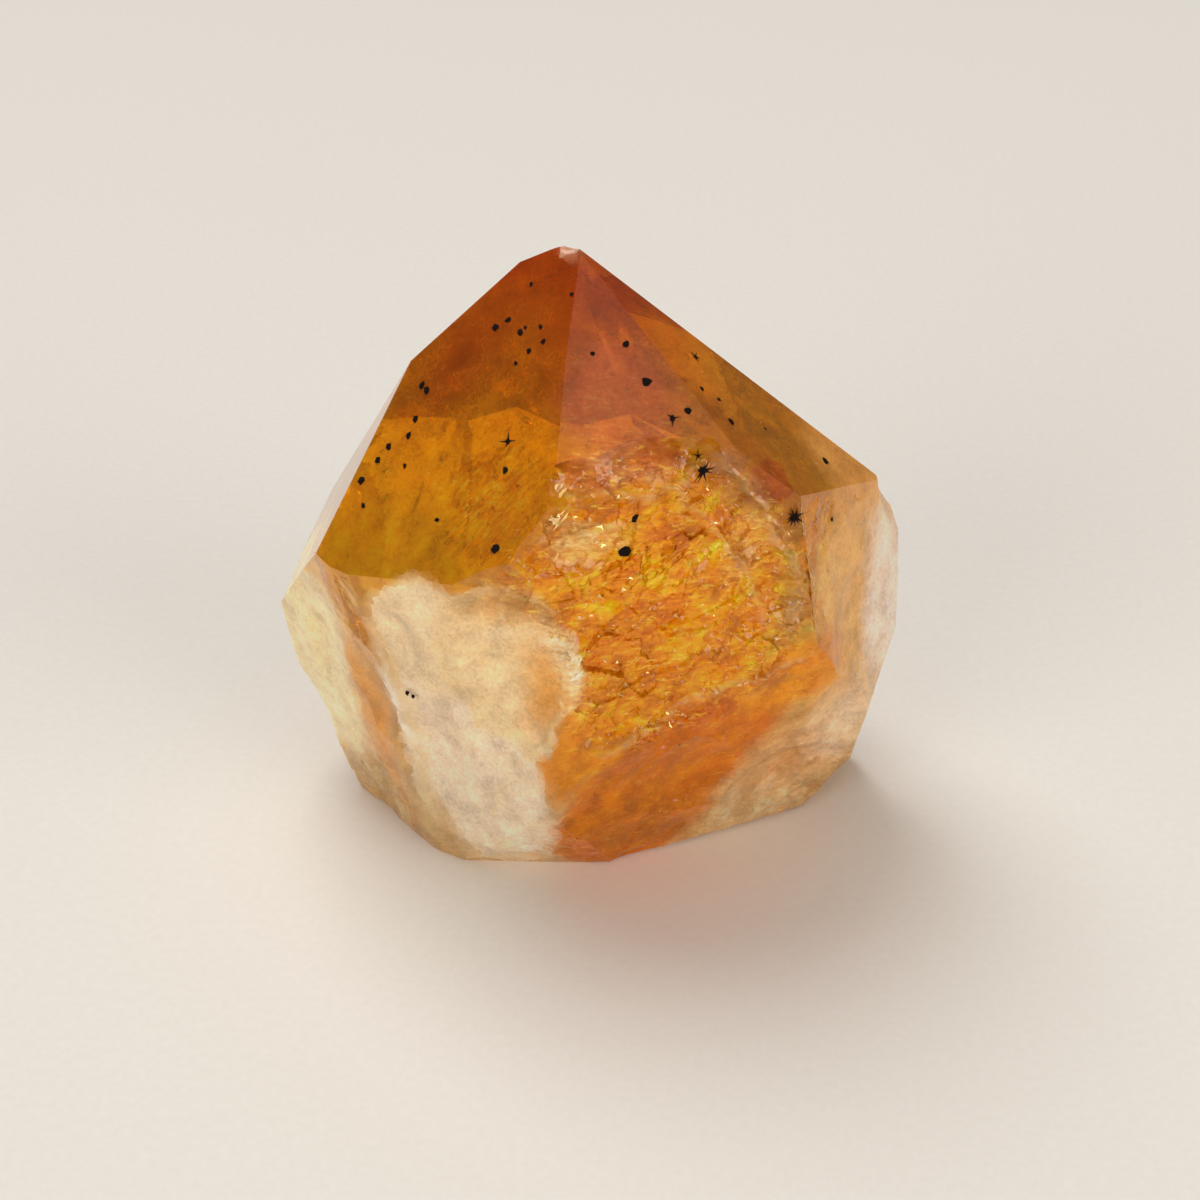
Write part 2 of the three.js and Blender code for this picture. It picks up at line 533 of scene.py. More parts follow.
    def _mottle(
        self,
        tree: bpy.types.NodeTree,
        place: bpy.types.NodeSocket,
        colour: bpy.types.NodeSocket,
    ) -> bpy.types.NodeSocket:
        """Clouds the colour with soft blotches and fine grain."""
        for size, low, high, detail in ((2.6, 0.78, 1.2, 3.0), (0.35, 0.88, 1.1, 1.0)):
            cloud = add_node(
                tree,
                "ShaderNodeTexNoise",
                inputs={"Vector": place, "Scale": 1 / (size * MM), "Detail": detail},
            )
            level = add_node(
                tree,
                "ShaderNodeMapRange",
                inputs={
                    "Value": cloud.outputs["Fac"],
                    "From Min": 0.3,
                    "From Max": 0.7,
                    "To Min": low,
                    "To Max": high,
                },
            )
            scaled = add_node(
                tree,
                "ShaderNodeVectorMath",
                {"operation": "SCALE"},
                {0: colour, "Scale": level.outputs[0]},
            )
            colour = scaled.outputs[0]
        return colour

    def _grain(
        self, tree: bpy.types.NodeTree, frost: bpy.types.NodeSocket
    ) -> bpy.types.NodeSocket:
        """Roughens the frosted parts with a grain of a fifth of a millimetre."""
        place = add_node(tree, "ShaderNodeTexCoord").outputs["Object"]
        grit = add_node(
            tree,
            "ShaderNodeTexNoise",
            inputs={"Vector": place, "Scale": 1 / (0.2 * MM), "Detail": 1.0},
        )
        strength = add_node(
            tree,
            "ShaderNodeMapRange",
            inputs={"Value": frost, "From Min": 0.1, "From Max": 0.5, "To Max": 0.6},
        )
        bump = add_node(
            tree,
            "ShaderNodeBump",
            inputs={
                "Strength": strength.outputs[0],
                "Distance": 0.05 * MM,
                "Height": grit.outputs["Fac"],
            },
        )
        return bump.outputs[0]


@dataclass(frozen=True)
class PlainFinish:
    """A finish with one gentle blotch of colour, for grains, veils and the studio floor."""

    name: str
    dark: str
    light: str
    roughness: float
    metallic: float = 0.0
    blotch: float = 0.8
    gloss: float = 0.5

    def build(self) -> bpy.types.Material:
        """Makes the material.

        Returns:
            The new material.
        """
        material = bpy.data.materials.new(self.name)
        material.use_nodes = True
        tree = material.node_tree
        tree.nodes.clear()
        place = add_node(tree, "ShaderNodeTexCoord").outputs["Object"]
        cloud = add_node(
            tree,
            "ShaderNodeTexNoise",
            inputs={"Vector": place, "Scale": 1 / (self.blotch * MM), "Detail": 3.0},
        )
        mix = add_node(
            tree,
            "ShaderNodeMix",
            {"data_type": "RGBA"},
            {0: cloud.outputs["Fac"], 6: linear(self.dark), 7: linear(self.light)},
        )
        shader = add_node(
            tree,
            "ShaderNodeBsdfPrincipled",
            inputs={
                "Base Color": mix.outputs[2],
                "Roughness": self.roughness,
                "Metallic": self.metallic,
                "Specular IOR Level": self.gloss,
            },
        )
        add_node(tree, "ShaderNodeOutputMaterial", inputs={"Surface": shader.outputs[0]})
        return material


FRONT = Patch((6.5, -21, 34), (16.5, 9, 15.5), soft=0.25)
CITRINE = QuartzFinish(
    tints=(
        # The tip is red along its left edge and turns to old gold on the right.
        Tint(Patch((-14, -10, 52), (14, 9, 5), (0, -46, 0), 0.9), "A83400", 0.6, 0.03, 0.7),
        Tint(Patch((15, -6, 46), (14, 9, 11), (0, 32, 0), 0.6), "CE8200", 0.55, 0.03, 0.9),
        # A pale pink patch on the middle face is painted reflection of the bright room above it.
        Tint(Patch((3, -16, 53), (7, 6, 7.5), (0, 20, 0), 0.4), "D4683C", 0.5, 0.03, 0.7),
        # The root goes milky all round, and the right flank is frosted peach.
        Tint(Patch((0, 0, 2), (60, 60, 26), soft=0.6), "E8BC82", 0.3, 0.30, 0.8),
        Tint(Patch((28, -8, 27), (8.5, 15, 17), soft=0.3), "F2B462", 0.2, 0.3),
        Tint(Patch((31, -4, 24), (5, 9, 16), soft=0.6), "FFE4CC", 0.15, 0.4),
        Tint(Patch((25, -5, 41), (9, 8, 8), soft=0.8), "E8A04A", 0.3, 0.1),
        # The left flank is cream, with an orange streak beside its white bevel.
        Tint(Patch((-29, -3, 19), (10, 15, 17), soft=0.35), "FFE4AE", 0.15, 0.22),
        Tint(Patch((-29, -6, 33), (7, 8, 4), soft=0.6), "F0B860", 0.25, 0.12),
        # The back is milky at one side and golden at the other.
        Tint(Patch((-8, 15, 12), (15, 10, 11), soft=0.5), "FCE4C6", 0.2, 0.33),
        Tint(Patch((14, 12, 22), (13, 12, 9), soft=0.6), "EEA63A", 0.3, 0.15, 0.9),
        # The front stays golden, with deep orange under its lower ridge.
        Tint(FRONT, "FC9C06", 0.38, 0.07),
        Tint(Patch((1, -22, 20), (10, 7, 8.5), (0, -20, 0), 0.3), "F69808", 0.38, 0.08),
        Tint(Patch((9, -18, 14), (16, 9, 8.5), (0, -28, 0), 0.3), "EC7C00", 0.45, 0.06),
        Tint(Patch((20, -15, 23), (8, 8, 5.5), (0, -20, 0), 0.4), "F09208", 0.3, 0.12),
        Tint(Patch((4, -17, 7), (11, 9, 10), soft=0.3), "E67E00", 0.4, 0.08),
        Tint(Patch((21, -11, 9), (9, 8, 8), soft=0.5), "E4AA6C", 0.25, 0.3),
        Tint(Patch((27.5, -9, 14), (7, 9, 9), soft=0.7), "F2CCA0", 0.2, 0.35),
        # The hollow at the lower left is white with frost and has a crisp rim.
        Tint(Patch((-11.5, -18, 17), (8.5, 11, 20), (0, -13.5, 0), 0.25), "FCE0BC", 0.2, 0.33),
        Tint(Patch((-14, -19, 29), (9.5, 8, 8), soft=0.2), "FADCAE", 0.2, 0.33),
        Tint(Patch((-9, -23, 27), (8.5, 6, 10.5), soft=0.1), "F8D6A0", 0.2, 0.33),
        Tint(Patch((-3.5, -22, 25), (5, 4, 8), soft=0.9), "EEA64A", 0.2, 0.3),
        Tint(Patch((-7, -23, 34.5), (8, 5, 5), soft=0.9), "C88420", 0.25, 0.25),
        Tint(Patch((-22.6, -11.8, 15), (3.2, 6, 18), (0, -13.5, 0), 0.8), "E89A34", 0.3, 0.2),
        Tint(Patch((-19.2, -14.6, 18), (1.3, 4, 18), (0, -13.5, 0), 0.9), "FFF4E4", 0.1, 0.4, 0.8),
        # Pale shells and stains in the front.
        Tint(Patch((0, -22, 41), (5.6, 3, 2.8), soft=0.5), "D09A54", 0.25, 0.15, 0.75),
        Tint(Patch((15.5, -19, 40), (2.5, 4, 8), (0, 20, 0), 0.5), "E4A044", 0.25, 0.2, 0.7),
        Tint(Patch((17.6, -16.2, 45.6), (2.4, 3, 2.6), (0, 30, 0), 0.2), "B85800", 0.35, 0.05),
        Tint(Patch((21.5, -16, 38), (1.8, 3, 5), (0, 8, 0), 0.3), "DE8A1C", 0.35, 0.05),
        Tint(Patch((3.5, -19, 48.0), (8, 3, 2.4), (0, -6, 0), 0.25), "DC8040", 0.35, 0.12, 0.8),
        Tint(Patch((-8, -19, 43), (5, 5, 7), (0, 30, 0), 0.8), "F09A08", 0.8, 0.03),
        Tint(Patch((-1, -6, 64), (2.2, 2, 1.6), soft=0.6), "ECB894", 0.2, 0.3, 0.8),
    )
)
GOETHITE = PlainFinish("goethite_grains", "080504", "1A0E06", 0.7, blotch=0.3, gloss=0.1)
GOLD_VEIL = PlainFinish("gold_crack_veils", "E8A824", "FFF0B0", 0.22, metallic=0.6)
NEEDLE = PlainFinish("gold_needles", "FFB420", "FFF0A8", 0.3)
PALE_VEIL = PlainFinish("pale_crack_veils", "E0B060", "FFE9BC", 0.3)
BACKDROP = PlainFinish("pale_backdrop", "E0DAD1", "E8E3DB", 0.7, blotch=0.9)


# ---- The crystal --------------------------------------------------------------------------


@dataclass(frozen=True)
class Hackle:
    """Broken quartz is a patchwork of small tilted steps: one size of them.

    Args:
        cell: how wide a step is.
        lift: how far a step stands above or below its neighbours.
        tilt: how much a step leans, as rise over run.
        stretch: how much longer steps are along their grain than across it.
    """

    cell: float
    lift: float
    tilt: float
    stretch: float = 1.0

    def height(self, point: Vector, grain: Matrix) -> tuple[float, float]:
        """Gives the step height at a point, both in metres, and the step's shade from -1 to 1."""
        local = grain @ point
        local = Vector((local.x / self.stretch, local.y, local.z)) / (self.cell * MM)
        centre = noise.voronoi(local)[1][0]
        lean = noise.cell_vector(centre * 913.0) - Vector((0.5, 0.5, 0.5))
        rise = noise.cell_vector(centre * 401.0 + Vector((7, 7, 7))).x - 0.5
        shade = noise.cell_vector(centre * 577.0 + Vector((3, 1, 9))).x * 2 - 1
        return (lean.dot(local - centre) * self.tilt * self.cell + rise * self.lift) * MM, shade


@dataclass(frozen=True)
class Seam:
    """A raised, pale edge that runs across the broken quartz, such as the lip of a chip.

    Args:
        points: the places it runs through.
        width: how wide it is.
        rise: how far it stands out.
        pale: how pale it is, from 0 to 1.
    """

    points: tuple[Triple, ...]
    width: float
    rise: float
    pale: float
    reach: float = 7.0

    def share(self, places: np.ndarray, normals: np.ndarray) -> np.ndarray:
        """Gives 1 along the seam and 0 away from it, for places in metres.

        Args:
            places: one row for each place.
            normals: the surface's outward normal at each place.

        Returns:
            One number for each place.
        """
        at = places / MM
        wander = 0.5 * np.sin(at[:, 0] * 1.1 + at[:, 2] * 0.6) + 0.35 * np.sin(at[:, 2] * 2.3 + 1)
        at = at + wander[:, None] * np.array((0.6, 0.0, 0.6))
        best = np.zeros(len(at))
        for start, end in zip(self.points, self.points[1:]):
            first, along = np.array(start), np.subtract(end, start)
            t = np.clip((at - first) @ along / (along @ along), 0, 1)
            off = at - first - t[:, None] * along
            sunk = (off * normals).sum(axis=1)
            across = np.sqrt(np.maximum((off * off).sum(axis=1) - sunk**2, 0))
            near = np.exp(-((across / self.width) ** 2)) * (np.abs(sunk) < self.reach)
            best = np.maximum(best, near)
        return best * (0.65 + 0.35 * np.sin(at[:, 0] * 3.1 + at[:, 2] * 2.7))


@dataclass
class TriangleNet:
    """A closed net of triangles that can be split finer without leaving gaps.

    Args:
        points: one row for each corner, in metres.
        faces: three corner numbers for each triangle.
    """

    points: np.ndarray
    faces: np.ndarray

    @classmethod
    def of(cls, shape: bmesh.types.BMesh) -> "TriangleNet":
        """Copies a triangulated bmesh."""
        shape.verts.index_update()
        points = np.array([v.co[:] for v in shape.verts])
        return cls(points, np.array([[v.index for v in f.verts] for f in shape.faces]))

    def edges(self) -> tuple[np.ndarray, np.ndarray]:
        """Lists each edge once.

        Returns:
            The edges' corner numbers, and each face's three edge numbers.
        """
        pairs = np.concatenate([self.faces[:, [0, 1]], self.faces[:, [1, 2]], self.faces[:, [2, 0]]])
        pairs.sort(axis=1)
        unique, owner = np.unique(pairs, axis=0, return_inverse=True)
        return unique, owner.reshape(3, -1).T

    def split(self, longest: Callable[[np.ndarray], np.ndarray]) -> bool:
        """Halves every edge that is too long.

        Args:
            longest: gives the longest edge allowed around each of many points.

        Returns:
            Whether anything was split.
        """
        pairs, owned = self.edges()
        ends = self.points[pairs]
        middles = ends.mean(axis=1)
        marked = np.linalg.norm(ends[:, 0] - ends[:, 1], axis=1) > longest(middles)
        if not marked.any():
            return False
        number = np.full(len(pairs), -1)
        number[marked] = len(self.points) + np.arange(marked.sum())
        self.points = np.concatenate([self.points, middles[marked]])
        halves = number[owned]
        kept = [self.faces[(halves < 0).all(axis=1)]]
        for turn in range(3):
            corner = np.roll(self.faces, -turn, axis=1)
            half = np.roll(halves, -turn, axis=1)
            a, b, c = corner.T
            ab, bc, ca = half.T
            one = (ab >= 0) & (bc < 0) & (ca < 0)
            kept += [np.stack([a, ab, c], 1)[one], np.stack([ab, b, c], 1)[one]]
            two = (ab >= 0) & (bc >= 0) & (ca < 0)
            kept += [
                np.stack([ab, b, bc], 1)[two],
                np.stack([a, ab, bc], 1)[two],
                np.stack([a, bc, c], 1)[two],
            ]
        a, b, c = self.faces.T
        ab, bc, ca = halves.T
        full = (halves >= 0).all(axis=1)
        for trio in ((a, ab, ca), (ab, b, bc), (ca, bc, c), (ab, bc, ca)):
            kept.append(np.stack(trio, 1)[full])
        self.faces = np.concatenate(kept)
        return True

    def normals(self) -> np.ndarray:
        """Gives each corner's outward normal, weighted by area."""
        trios = self.points[self.faces]
        across = np.cross(trios[:, 1] - trios[:, 0], trios[:, 2] - trios[:, 0])
        total = np.zeros_like(self.points)
        for k in range(3):
            np.add.at(total, self.faces[:, k], across)
        return total / np.maximum(np.linalg.norm(total, axis=1, keepdims=True), 1e-18)

    def bend(self) -> np.ndarray:
        """Gives the sharpest angle of the faces around each corner, as the least cosine."""
        trios = self.points[self.faces]
        across = np.cross(trios[:, 1] - trios[:, 0], trios[:, 2] - trios[:, 0])
        across /= np.maximum(np.linalg.norm(across, axis=1, keepdims=True), 1e-18)
        normals = self.normals()
        least = np.ones(len(self.points))
        for k in range(3):
            at = self.faces[:, k]
            np.minimum.at(least, at, (across * normals[at]).sum(axis=1))
        return least

    def relax(self, loose: np.ndarray, rounds: int) -> None:
        """Moves some corners towards the middle of their neighbours, over and over."""
        pairs, _ = self.edges()
        count = np.bincount(pairs.ravel(), minlength=len(self.points))[:, None]
        for _ in range(rounds):
            total = np.zeros_like(self.points)
            np.add.at(total, pairs[:, 0], self.points[pairs[:, 1]])
            np.add.at(total, pairs[:, 1], self.points[pairs[:, 0]])
            moved = (self.points + total / count) / 2
            self.points[loose] = moved[loose]

    def mesh(self, name: str) -> bpy.types.Mesh:
        """Makes a Blender mesh."""
        mesh = bpy.data.meshes.new(name)
        mesh.from_pydata(self.points.tolist(), [], self.faces.tolist())
        mesh.validate()
        return mesh


@dataclass
class Crystal:
    """The crystal itself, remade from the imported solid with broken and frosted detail."""

    source: bpy.types.Object
    name: str = "citrine_body"
    finest: float = 0.35
    fine: float = 0.62
    coarse: float = 1.2
    flat: float = 3.0
    front_of: float = 2.0
    fade: float = 1.0
    sharp_angle: float = 22.0
    grain_turn: Triple = (0.0, 38.0, 15.0)
    steps: tuple[Hackle, ...] = (
        Hackle(4.5, 0.30, 0.20, 2.2),
        Hackle(1.8, 0.13, 0.32, 2.2),
        Hackle(0.8, 0.07, 0.36, 1.8),
    )
    rough: tuple[tuple[Patch, float], ...] = (
        (Patch((8, -16, 12), (20, 10, 13), soft=0.3), 0.35),
        (Patch((6, -21, 34), (19, 9, 17), soft=0.2), 1.0),
        (Patch((-14, -20, 19), (14, 14, 22), soft=0.2), 0.10),
        (Patch((-27, -4, 20), (10, 16, 20), soft=0.4), 0.12),
        (Patch((29, -8, 24), (9, 17, 22), soft=0.4), 0.16),
    )
    rough_elsewhere: float = 0.45
    shade_weights: Triple = (0.22, 0.26, 0.22)
    # Where feather streaks show, and with them the painted glints.
    feather_and_glint_patches: tuple[tuple[Patch, float], ...] = (
        (Patch((-9, -18, 43), (10, 9, 9), soft=0.8), 0.8),
        (Patch((4, -19, 48), (10, 5, 4), soft=0.4), 0.9),
        (Patch((0, -14, 44), (40, 30, 20), soft=0.6), 0.25),
    )
    seams: tuple[Seam, ...] = (
        Seam(((11, -17, 50), (16, -17, 42.5), (20.4, -17, 34.5), (19.6, -17, 30)), 1.0, 0.45, 0.6),
        Seam(((6, -19, 47), (11.5, -19, 42), (15.5, -18, 36), (17, -18, 30)), 0.5, 0.2, 0.35),
        Seam(((-13, -23, 37.5), (-5, -23, 36), (-1.3, -23, 30.5), (-4, -24, 20.5)), 0.4, 0.2, 0.6),
        Seam(((-4, -24, 20.5), (-9, -22, 15), (-10, -20, 8)), 0.35, 0.15, 0.4),
        Seam(((1, -23, 18), (11, -20, 23), (21, -17, 25.5)), 0.4, 0.2, 0.4),
        Seam(((-4, -21, 46), (5, -20, 45.3), (9, -19, 46), (11, -18, 48.5)), 0.45, 0.2, 0.5),
        Seam(((-23.5, -13, 35.8), (-18.5, -15.5, 20), (-16.5, -14, 2.6)), 0.9, 0.1, 0.7),
        Seam(((-6, -22, 42), (-1, -22, 43.5), (4, -21, 42)), 0.35, 0.1, 0.5),
    )
    polished: list[Plane] = field(default_factory=list)

    def build(self) -> bpy.types.Object:
        """Makes the crystal's mesh and dresses it.

        Returns:
            The crystal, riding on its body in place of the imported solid.
        """
        self.polished = Planes(self.source.data).polished()
        shape = bmesh.new()
        shape.from_mesh(self.source.data)
        bmesh.ops.remove_doubles(shape, verts=shape.verts, dist=1e-6)
        bmesh.ops.dissolve_limit(
            shape, angle_limit=math.radians(0.2), verts=shape.verts, edges=shape.edges
        )
        bmesh.ops.triangulate(shape, faces=shape.faces)
        net = TriangleNet.of(shape)
        shape.free()
        while net.split(self._longest):
            pass
        depth = self.depth_in(net.points)
        loose = (depth > 0.05 * MM) & (net.points[:, 2] > 0.01 * MM)
        net.relax(loose & (net.bend() > math.cos(math.radians(9))), rounds=5)
        broken = self._break(net)
        mesh = net.mesh(self.name)
        # Each corner keeps its flake shade, its feather and painted-glint strength, and how pale its
        # edge is.
        told = mesh.attributes.new("broken", "FLOAT_VECTOR", "POINT")
        told.data.foreach_set("vector", broken.astype(np.float32).ravel())
        mesh.shade_smooth()
        mesh.set_sharp_from_angle(angle=math.radians(self.sharp_angle))
        mesh.materials.append(CITRINE.build())
        crystal = new_object(self.name, mesh)
        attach(crystal, BODY)
        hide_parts(NODE)
        LOG.info("%s: %d triangles", self.name, len(mesh.polygons))
        return crystal

    def depth_in(self, points: np.ndarray) -> np.ndarray:
        """How far points lie behind the nearest polished face, in metres."""
        depths = [plane.reach - points @ np.array(plane.normal) for plane in self.polished]
        return np.min(depths, axis=0)

    def _longest(self, middles: np.ndarray) -> np.ndarray:
        """The longest edge allowed around each of many points."""
        limit = np.where(middles[:, 1] < self.front_of * MM, self.fine, self.coarse)
        limit = np.where(FRONT.share(middles) > 0, self.finest, limit)
        flat = (self.depth_in(middles) < 0.01 * MM) | (middles[:, 2] < 0.01 * MM)
        return np.where(flat, self.flat, limit) * MM

    def _break(self, net: TriangleNet) -> np.ndarray:
        """Moves the natural faces in and out into steps, hackles and seams.

        Args:
            net: the crystal's net.

        Returns:
            For each corner: its flake's shade, how strongly feather streaks and painted glints show,
                and how pale an edge is.
        """
        grain = Matrix.Identity(3)
        for axis, angle in zip("XYZ", self.grain_turn):
            grain = Matrix.Rotation(math.radians(angle), 3, axis) @ grain
        hold = np.clip(self.depth_in(net.points) / (self.fade * MM), 0, 1)
        hold *= np.clip(net.points[:, 2] / (1.2 * MM), 0, 1)
        level = np.full(len(net.points), self.rough_elsewhere)
        for patch, amount in self.rough:
            level += (amount - level) * patch.share(net.points)
        heights = np.zeros(len(net.points))
        shades = np.zeros(len(net.points))
        for i in np.flatnonzero(hold > 0):
            point = Vector(net.points[i])
            for step, weight in zip(self.steps, self.shade_weights):
                height, shade = step.height(point, grain)
                heights[i] += height
                shades[i] += shade * weight
        normals = net.normals()
        heights = level * heights
        pale = np.zeros(len(net.points))
        for seam in self.seams:
            share = seam.share(net.points, normals)
            heights += share * seam.rise * MM
            pale = np.maximum(pale, share * seam.pale)
        feather_and_glint = level * hold
        for patch, amount in self.feather_and_glint_patches:
            feather_and_glint = np.maximum(feather_and_glint, amount * patch.share(net.points))
        net.points += normals * (heights * hold)[:, None]
        return np.stack([shades * level * hold, feather_and_glint, pale * hold], 1)


# ---- What is sealed in the crystal ----------------------------------------------------------


@dataclass(frozen=True)
class Speck:
    """One dark grain under a face.

    Args:
        across: how far right of the tip it lies along the face.
        down: how far below the tip it lies along the face.
        size: how wide it is.
        needles: how many needles it has; a grain with none is a lump.
    """

    across: float
    down: float
    size: float
    needles: int = 0


@dataclass
class Specks:
    """Black goethite grains and needle clusters, sealed just under the faces."""

    source: bpy.types.Mesh
    name: str = "goethite_specks"
    sunk: float = 0.0
    seed: int = 5
    grains: dict[Face, tuple[Speck, ...]] = field(default_factory=dict)

    def build(self) -> bpy.types.Object:
        """Makes all the grains as one mesh.

        Returns:
            The grains, riding on the crystal's body.
        """
        noise.seed_set(self.seed)
        shape = bmesh.new()
        planes = Planes(self.source)
        tip = max((v.co for v in self.source.vertices), key=lambda co: co.z)
        for face, specks in self.grains.items():
            plane = planes.facing(face.normal)
            level = Vector((0, 0, 1)).cross(plane.normal).normalized()
            upright = plane.normal.cross(level)
            start = tip + plane.normal * plane.inside(tip)
            for speck in specks:
                at = start + level * speck.across * MM - upright * speck.down * MM
                at -= plane.normal * self.sunk * speck.size * MM
                turn = Matrix((level, upright, plane.normal)).transposed()
                self._lump(shape, at, turn, speck.size * (0.5 if speck.needles else 1.0))
                for k in range(speck.needles):
                    self._needle(shape, at, turn, speck.size, math.tau * k / speck.needles)
        bmesh.ops.recalc_face_normals(shape, faces=shape.faces)
        mesh = bpy.data.meshes.new(self.name)
        shape.to_mesh(mesh)
        shape.free()
        mesh.materials.append(GOETHITE.build())
        grains = new_object(self.name, mesh)
        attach(grains, BODY)
        LOG.info("%s: %d triangles", self.name, len(mesh.polygons))
        return grains

    def _lump(self, shape: bmesh.types.BMesh, at: Vector, turn: Matrix, size: float) -> None:
        """Adds one uneven grain."""
        made = bmesh.ops.create_icosphere(shape, subdivisions=1, radius=size * MM / 2)
        for vert in made["verts"]:
            vert.co *= 0.65 + 0.7 * noise.random()
            vert.co.z *= 0.4
            vert.co = at + turn @ vert.co

    def _needle(
        self, shape: bmesh.types.BMesh, at: Vector, turn: Matrix, size: float, angle: float
    ) -> None:
        """Adds one needle that points out of a cluster."""
        length = size * (0.45 + 0.4 * noise.random())
        made = bmesh.ops.create_cone(
            shape, cap_ends=True, segments=5, radius1=size * 0.09 * MM, radius2=0, depth=length * MM
        )
        lean = Matrix.Rotation(angle + 0.5 * noise.random(), 3, "Z") @ Matrix.Rotation(
            math.radians(70 + 20 * noise.random()), 3, "Y"
        )
        for vert in made["verts"]:
            vert.co = at + turn @ lean @ (vert.co + Vector((0, 0, length * MM / 2)))


